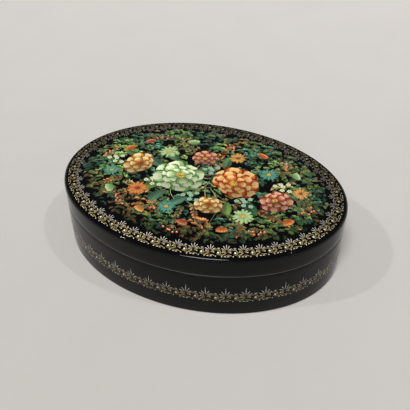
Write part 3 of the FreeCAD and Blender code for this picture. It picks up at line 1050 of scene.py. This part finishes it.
def clump(place, radius, colours, light):
    """A rounded clump of tufts, lit from above and sunk in the dark at its foot."""
    for _ in range(int(radius * radius * TUFTS_PER_MM2)):
        reach = radius * math.sqrt(random_hand.random())
        spot = lean(place, vary(0, FULL_TURN), reach)
        share = edge_share(*spot)
        if share > 0.98:
            continue
        height = (spot[1] - place[1]) / radius
        from_above = (0.95 + 0.9 * height) * (0.88 + 0.007 * spot[1] - 0.002 * spot[0])
        lit = max(light * from_above * (1.2 - 0.6 * share**3), DARKEST)
        heading = math.atan2(spot[1] - place[1] + radius * 0.7, spot[0] - place[0])
        lift = 0.008 + 0.014 * (0.5 - spot[1] / 80)
        tint = pick(colours) * lit
        tuft(spot, heading + drift(0, 0.3), vary(1.6, 2.5), tint, lift)


# %% Lay the clumps
CLUMPS = (
    ((-10, 33), 9, PINE, 0.6), ((8, 34), 9, OLIVE, 0.6), ((24, 31), 9, PINE, 0.9),
    ((-27, 30), 9, MOSS, 0.6), ((-40, 23), 9, PINE, 0.7), ((38, 24), 9, OLIVE, 0.8),
    ((-50, 11), 9, MOSS, 0.9), ((49, 13), 9, PINE, 0.8), ((-18, 24), 8, OLIVE, 0.7),
    ((15, 26), 8, PINE, 1.0), ((0, 24), 8, MOSS, 0.7), ((30, 18), 9, MOSS, 0.8),
    ((-33, 15), 9, PINE, 0.8), ((-43, 3), 10, MOSS, 1.0), ((43, 2), 10, OLIVE, 0.9),
    ((53, -1), 7, PINE, 0.7), ((-53, -4), 7, PINE, 0.8), ((-20, 10), 9, MOSS, 0.7),
    ((20, 8), 9, PINE, 0.6), ((0, 10), 9, OLIVE, 0.5), ((-45, -12), 9, MOSS, 0.9),
    ((45, -13), 9, MOSS, 0.8), ((-32, -6), 9, PINE, 0.7), ((34, -8), 9, PINE, 0.6),
    ((-34, -20), 9, OLIVE, 0.8), ((33, -22), 9, MOSS, 0.8), ((-20, -16), 9, MOSS, 0.6),
    ((18, -14), 9, OLIVE, 0.6), ((-19, -29), 8, RUSSET, 0.7), ((18, -30), 8, PINE, 0.8),
    ((-4, -24), 9, PINE, 0.7), ((8, -33), 7, RUSSET, 0.8), ((-7, -34), 7, MOSS, 0.7),
    ((27, -30), 6, OLIVE, 0.8), ((3, -9), 8, MOSS, 0.9), ((1, 5), 8, PINE, 0.9),
)
for number in range(EDGE_CLUMPS):
    around = number * FULL_TURN / EDGE_CLUMPS
    place = (EDGE_CLUMP_AXES[0] * math.cos(around), EDGE_CLUMP_AXES[1] * math.sin(around))
    clump(place, 5.6, (MOSS, PINE, OLIVE)[number % 3], 0.5 + 0.2 * abs(math.cos(around)))
for row in CLUMPS:
    clump(*row)
print("strokes in clumps:", len(far_thicket), len(near_thicket))

# %% [markdown]
# ## Twigs, sprays and large leaves
#
# A spray is a bent twig with pairs of leaves that get smaller to its tip. A large leaf is
# a dark shape with a lighter half, a vein and a few side veins laid over it. Each row of
# a table gives a root, a heading, a length, how far it bends, and a palette.

# %% Sprays and leaves


def spray(root, heading, length, sag, colours, leaf=3.4, pairs=8, lift=0.032):
    heading = math.radians(heading)
    path = sweep(root, heading, length, sag)
    lay(leaves, curl, path, 0.36, lift, TWIG * 0.6, TWIG)
    for pair in range(pairs):
        share = (pair + 1.0) / (pairs + 0.4)
        at = tuple(path[int(share * (len(path) - 1))])
        size = leaf * (1.1 - 0.6 * share)
        for side in (-1, 1):
            angle = heading + sag * share + side * vary(0.6, 0.9)
            tint = pick(colours)
            middle = lean(at, angle, size * 0.55)
            tip = lean(at, angle - side * 0.3, size)
            blade = smooth_path([at, middle, tip], 4)
            lay(leaves, dab, blade, size * 0.34, lift + 0.006, tint * 0.5, tint * 1.4)
            lay(leaves, dab, [at, middle, tip], 0.16, lift + 0.012, tint * 0.9, tint * 2.0)
    end = tuple(path[-1])
    last = [end, lean(end, heading + sag, leaf * 0.7)]
    lay(leaves, dab, last, leaf * 0.2, lift + 0.006, pick(colours) * 1.3)


def large_leaf(root, heading, length, sag, colours, lift=0.046):
    heading = math.radians(heading)
    path = sweep(root, heading, length, sag)
    tint = pick(colours)
    width = length * 0.42
    lay(leaves, broad, path, width, lift, tint * 0.28, tint * 0.75)
    side = path + np.array([-math.sin(heading), math.cos(heading)]) * width * 0.2
    side[0], side[-1] = path[0], path[-1]
    lay(leaves, broad, side, width * 0.42, lift + 0.004, tint * 0.6, tint * 1.5)
    lay(leaves, curl, path, 0.2, lift + 0.008, tint, tint * 2.2)
    for share in (0.3, 0.45, 0.6, 0.72):
        at = tuple(path[int(share * (len(path) - 1))])
        for turn in (-0.7, 0.7):
            vein = [at, lean(at, heading + sag * share + turn, width * 0.42)]
            lay(leaves, dab, vein, 0.13, lift + 0.008, tint * 1.2, tint * 2.0)


# %% Lay the sprays and leaves
SPRAYS = (
    ((-24, 12), 150, 27, 0.5, MOSS), ((-34, -2), 176, 20, -0.35, MOSS),
    ((-36, -10), 205, 17, 0.5, RUSSET), ((-20, -14), 226, 22, -0.6, RUSSET),
    ((-10, -16), 250, 19, -0.6, MOSS), ((2, -17), 280, 17, 0.6, RUSSET),
    ((14, -14), 305, 23, 0.5, MOSS), ((30, -12), 330, 22, 0.4, RUSSET),
    ((42, -4), 352, 13, -0.4, MOSS), ((40, 6), 18, 15, 0.5, MOSS),
    ((28, 14), 40, 21, -0.5, OLIVE), ((16, 17), 66, 19, 0.5, PINE),
    ((2, 18), 92, 18, -0.5, RUSSET), ((-12, 16), 116, 21, 0.45, MOSS),
    ((-30, 6), 160, 22, -0.5, PINE), ((-2, -20), 262, 15, 0.3, OLIVE),
    ((24, -16), 296, 16, -0.4, RUSSET),
)
LARGE_LEAVES = (
    ((-18, -8), 215, 13, 0.5, MOSS), ((-22, 4), 168, 12, -0.5, PINE),
    ((-16, 10), 132, 12, 0.5, MOSS), ((-3, 10), 88, 11, 0.5, PINE),
    ((8, 12), 110, 12, -0.5, MOSS), ((27, 10), 42, 12, 0.5, PINE),
    ((29, -1), 8, 10, -0.5, MOSS), ((25, -9), 322, 12, -0.5, PINE),
    ((8, -13), 288, 12, 0.5, MOSS), ((-3, -14), 250, 12, -0.5, PINE),
    ((-14, -13), 236, 13, 0.4, PINE), ((16, -12), 300, 11, -0.4, MOSS),
    ((-38, 8), 150, 9, 0.4, MOSS), ((42, 0), 30, 9, 0.4, MOSS),
    ((-40, -4), 206, 9, -0.4, MOSS),
)
for row in SPRAYS:
    spray(*row)
for row in LARGE_LEAVES:
    large_leaf(*row)
print("sprays and large leaves:", len(SPRAYS), len(LARGE_LEAVES))

# %% [markdown]
# ## Flowers
#
# A full flower is rounds of petals. It is seen a little from the side, so it is
# narrower one way and its heart sits off the middle. Each petal is three layers, a dark
# one that leaves an outline, the petal's own colour, and light towards its rim, with a
# few hairlines on top. Neighbours in a round lie alternately low and high. The dots of a
# heart turn by the golden angle, which packs them evenly, as the seeds of a sunflower.

# %% Full flowers
THIN_FILM = 0.001
GOLDEN_ANGLE = 2.4
HAIRLINES = (-0.36, -0.24, -0.12, 0.0, 0.12, 0.24, 0.36)
HEART_DOTS = 26
ROUND_LIFT = 0.0155
HIGH_PETAL = 0.0078


def touch(stroke, path, width, lift, *tints):
    """Lay a thin stroke on the sheet of flowers."""
    lay(flowers, stroke, path, width, lift, *tints, film=THIN_FILM)


def petal_place(flower, angle, distance):
    """A point of a flower that is seen from the side: squashed, with its heart moved."""
    place, radius, tilt, squash, shift = flower
    ahead = distance * math.cos(angle) * squash - shift * radius * (1 - distance / radius)
    across = distance * math.sin(angle)
    x = ahead * math.cos(tilt) - across * math.sin(tilt)
    y = ahead * math.sin(tilt) + across * math.cos(tilt)
    return (place[0] + x, place[1] + y)


def lay_petal(flower, angle, start, reach, width, colours, lift, lit):
    deep, middle, light = colours
    bow = vary(-0.1, 0.1)
    root = petal_place(flower, angle, start)
    halfway = petal_place(flower, angle + bow, (start + reach) / 2)
    path = smooth_path([root, halfway, petal_place(flower, angle, reach)], 4)
    inner = path * 0.94 + np.array(root) * 0.06
    glow = path[len(path) // 3 :] * 0.97 + np.array(root) * 0.03
    touch(petal, path, width, lift, deep * 0.6, deep)
    touch(petal, inner, width * 0.8, lift + 0.0018, deep * lit, middle * lit)
    touch(petal, glow, width * 0.5, lift + 0.0036, middle * lit * 0.9, light * lit * 0.95)
    for number, line in enumerate(HAIRLINES):
        turn = angle + line * width / reach
        low = petal_place(flower, turn * 0.3 + angle * 0.7, start + (reach - start) * 0.3)
        high = petal_place(flower, turn, reach * (0.95 - line * line * 1.2))
        tint = (deep * lit, light * lit * 1.1)[number % 2]
        touch(dab, [low, high], 0.17, lift + 0.0056, middle * lit * 0.7, tint)


def blossom(place, radius, rounds, colours, heart, tilt):
    """A full flower. Each round gives its number of petals, and where they start and end."""
    lift, squash, shift = 0.058, 0.84, 0.16
    flower = (place, radius, math.radians(tilt), squash, shift)
    for level, (count, start, reach) in enumerate(rounds):
        for number in range(count):
            angle = (number + 0.5 * (level % 2)) * FULL_TURN / count + drift(0, 0.05)
            size = radius * reach * vary(0.9, 1.06)
            lit = (0.84 + 0.34 * math.cos(angle + flower[2] - 2.1)) * (1 + 0.09 * level)
            width = FULL_TURN * size * 0.96 / count
            height = lift + ROUND_LIFT * level + HIGH_PETAL * (number % 2)
            lay_petal(flower, angle, radius * start, size, width, colours, height, lit)
    top = lift + ROUND_LIFT * len(rounds)
    for number in range(HEART_DOTS):
        reach = radius * 0.17 * math.sqrt(number / HEART_DOTS)
        spot = petal_place(flower, number * GOLDEN_ANGLE, reach)
        lay_dot(flowers, spot, radius * 0.055, top, heart * vary(0.55, 1.2))


# %% Rounds and colours of the flowers
FULL = ((8, 0.1, 1.0), (8, 0.08, 0.74), (6, 0.04, 0.48))
HALF = ((8, 0.1, 1.0), (6, 0.05, 0.62))
ORANGE = (paint(120, 44, 20), paint(218, 116, 50), paint(255, 214, 140))
AMBER = (paint(128, 72, 26), paint(224, 156, 70), paint(255, 240, 176))
MINT = (paint(70, 116, 64), paint(176, 210, 138), paint(250, 254, 214))
ROSE = (paint(96, 38, 34), paint(190, 102, 74), paint(248, 194, 148))
TEAL = (paint(16, 62, 58), paint(62, 140, 120), paint(186, 230, 196))
GOLDEN_HEART = paint(236, 190, 84)
BROWN_HEART = paint(150, 74, 34)

# %% Small flowers
DAISY_PETALS = 13
DAISY_DOTS = 14
STARS = 6
STAR_TURN = 1.2566
BERRY = paint(226, 100, 46)


def daisy(place, radius, colours, heart):
    """A ring of narrow petals round a heap of dots."""
    lift = 0.058
    deep, middle, light = colours
    for level in (0, 1):
        for number in range(DAISY_PETALS):
            angle = (number + 0.5 * level) * FULL_TURN / DAISY_PETALS + drift(0, 0.07)
            size = radius * (1.0 - 0.25 * level) * vary(0.88, 1.08)
            path = [lean(place, angle, radius * 0.12), lean(place, angle + 0.05, size * 0.6)]
            path.append(lean(place, angle, size))
            height = lift + 0.006 * level + 0.002 * (number % 2)
            touch(petal, path, size * 3.15 / DAISY_PETALS, height, deep, middle)
            touch(dab, path, size * 0.9 / DAISY_PETALS, height + 0.0015, middle, light)
    for number in range(DAISY_DOTS):
        spot = lean(place, number * GOLDEN_ANGLE, radius * 0.22 * math.sqrt(number / DAISY_DOTS))
        lay_dot(flowers, spot, radius * 0.12, lift + 0.014, heart * vary(0.6, 1.2))


def bell(place, heading, size, colours):
    """A bell flower or bud seen from the side: five petals that fan out of a calyx."""
    lift = 0.056
    heading = math.radians(heading)
    deep, middle, light = colours
    for order, turn in enumerate((-0.62, 0.62, -0.32, 0.32, 0.0)):
        path = [place, lean(place, heading + turn, size * 0.6), lean(place, heading + turn * 0.75, size)]
        height = lift + 0.003 * order
        touch(petal, path, size * 0.42, height, deep * 0.7, middle)
        touch(dab, path[1:], size * 0.16, height + 0.0015, middle, light)
    for turn in (-0.4, 0.4, 0.0):
        sepal = [place, lean(place, heading + turn, size * 0.36)]
        lay(flowers, dab, sepal, size * 0.16, lift + 0.018, MOSS[0], MOSS[2])


def star_cluster(place, colours):
    """Tiny five-petalled flowers in a loose heap."""
    for number in range(STARS):
        spot = lean(place, number * GOLDEN_ANGLE, 1.9 * math.sqrt(number))
        turn = vary(0, 6)
        for side in range(5):
            tip = lean(spot, turn + side * STAR_TURN, 1.25)
            touch(petal, [spot, tip], 0.95, 0.06 + 0.0004 * side, colours[1] * 0.8, colours[2])
        lay_dot(flowers, spot, 0.55, 0.066, GOLDEN_HEART)


def berries(root, heading, count):
    """A loose cluster of berries on thin stalks, each with a dot of light."""
    for number in range(count):
        angle = math.radians(heading) + (number - count / 2) * 0.34 + drift(0, 0.08)
        end = lean(root, angle, vary(2.8, 5.6))
        lay(flowers, dab, [root, end], 0.2, 0.052, TWIG, TWIG_LIGHT)
        lay_dot(flowers, end, 1.25, 0.058, BERRY * vary(0.7, 1.1))
        lay_dot(flowers, (end[0] - 0.2, end[1] + 0.22), 0.42, 0.068, CREAM)


# %% Put the bouquet together
BLOSSOMS = (
    ((-12, -2), 14.4, FULL, MINT, GOLDEN_HEART, 250),
    ((16, 4), 13.2, FULL, ORANGE, GOLDEN_HEART, 60),
    ((-35, 3), 9.4, HALF, AMBER, BROWN_HEART, 170),
    ((38, -4), 8.8, HALF, ROSE, GOLDEN_HEART, 330),
    ((-5, 18), 7.2, HALF, ROSE, GOLDEN_HEART, 110),
    ((9, -17), 7.0, HALF, AMBER, BROWN_HEART, 280),
)
DAISIES = (
    ((-24, 17), 5.4, MINT, GOLDEN_HEART), ((29, 15), 5.2, TEAL, GOLDEN_HEART),
    ((-27, -16), 5.4, ORANGE, BROWN_HEART), ((26, -19), 5.2, MINT, GOLDEN_HEART),
    ((11, 23), 4.6, AMBER, BROWN_HEART), ((-45, -7), 4.2, TEAL, GOLDEN_HEART),
    ((47, 6), 4.2, AMBER, BROWN_HEART), ((-9, -24), 4.4, TEAL, GOLDEN_HEART),
)
BELLS = (
    ((-42, 12), 145, 5.2, ORANGE), ((-14, 27), 110, 5.0, MINT), ((21, 27), 60, 5.0, ORANGE),
    ((44, -14), 320, 5.0, ORANGE), ((-38, -18), 225, 5.0, MINT), ((2, -29), 262, 4.6, ROSE),
    ((40, 17), 35, 4.8, MINT), ((19, -28), 290, 4.6, ORANGE), ((-19, -27), 245, 4.6, AMBER),
    ((-35, 21), 135, 4.8, ROSE),
)
STAR_CLUSTERS = (
    ((2, 9), TEAL), ((-22, -8), MINT), ((24, -9), TEAL), ((-47, 3), MINT), ((-1, -13), TEAL),
    ((38, 8), MINT),
)
BERRIES = (
    ((-30, 25), 120, 6), ((4, 28), 80, 6), ((33, 22), 50, 6), ((50, -4), 340, 6),
    ((-50, 5), 175, 6), ((-30, -24), 235, 6), ((33, -24), 305, 6), ((-1, -34), 270, 5),
)
BOUQUET = (
    (blossom, BLOSSOMS), (daisy, DAISIES), (bell, BELLS), (star_cluster, STAR_CLUSTERS),
    (berries, BERRIES),
)
for maker, table in BOUQUET:
    for row in table:
        maker(*row)
    print(maker.__name__, "laid", len(table), "times")

# %% Fine gold between the flowers
GOLD_LINES = 36

for number in range(GOLD_LINES):
    angle = vary(0, FULL_TURN)
    root = lean((drift(0, 16), drift(0, 7)), angle, 8)
    path = sweep(root, angle, vary(9, 20), vary(-1.3, 1.3))
    if edge_share(*path[-1]) < 0.93:
        tint = (PALE_GOLD, MOSS[2], TWIG_LIGHT)[number % 3]
        lay(leaves, curl, path, vary(0.18, 0.3), 0.045, tint * 0.3, tint * 0.9)


def dry_on_lid(name, sheet):
    points, faces, tints = gather(sheet)
    points[:, 2] += crown_height(points[:, 0], points[:, 1])
    dry(name, points, faces, tints, tempera, "lid")


dry_on_lid("picture_far_thicket", far_thicket)
dry_on_lid("picture_near_thicket", near_thicket)
dry_on_lid("picture_leaves", leaves)
dry_on_lid("picture_flowers", flowers)
